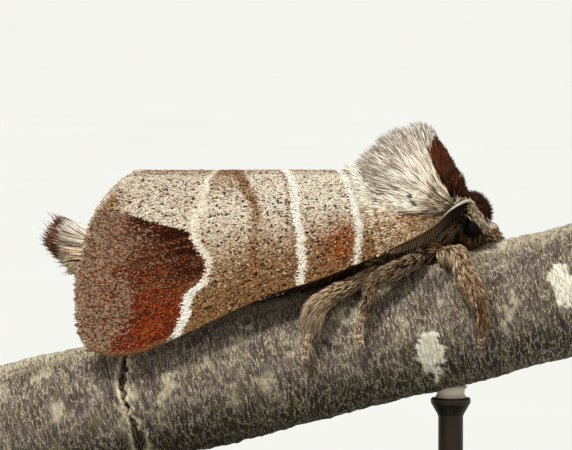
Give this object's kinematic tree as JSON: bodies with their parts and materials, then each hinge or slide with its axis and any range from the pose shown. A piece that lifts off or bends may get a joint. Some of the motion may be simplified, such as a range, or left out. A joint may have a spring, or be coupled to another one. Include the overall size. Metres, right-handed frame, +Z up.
{
  "type": "moth model on a twig",
  "caption": "Life-size still model of a chocolate-tip moth at rest on a cut twig, held by a small display stand.",
  "frame": {"origin": "centre of the underside of the stand's base, on the surface it stands on", "axes": "+X towards the moth's head along the base, +Y to the moth's left side, +Z up"},
  "size_m": [0.028, 0.014, 0.019],
  "materials": {
    "stand_plastic": "satin black",
    "stand_metal": "blackened, matte",
    "bark": "rough bark with lichen",
    "wing_scales": "fine matte scales",
    "under_wing_scales": "fine matte scales",
    "grey_hair": "soft matte hair",
    "brown_hair": "soft matte hair",
    "leg_hair": "soft matte hair",
    "eye": "glossy, faceted"
  },
  "bodies": {
    "root": {"stand_base": "stand_plastic", "stand_rod_rear": "stand_metal", "stand_rod_front": "stand_metal", "perch_twig": "bark", "forewing_left": "wing_scales", "forewing_right": "wing_scales", "hindwing_left": "under_wing_scales", "hindwing_right": "under_wing_scales", "abdomen": "under_wing_scales", "tail_tuft": "brown_hair", "thorax": "grey_hair", "head": "brown_hair", "eye_left": "eye", "eye_right": "eye", "palp_left": "leg_hair", "palp_right": "leg_hair", "antenna_left": "leg_hair", "antenna_right": "leg_hair", "leg_fore_left": "leg_hair", "leg_fore_right": "leg_hair", "leg_middle_left": "leg_hair", "leg_middle_right": "leg_hair", "leg_hind_left": "leg_hair", "leg_hind_right": "leg_hair"}
  },
  "joints": []
}
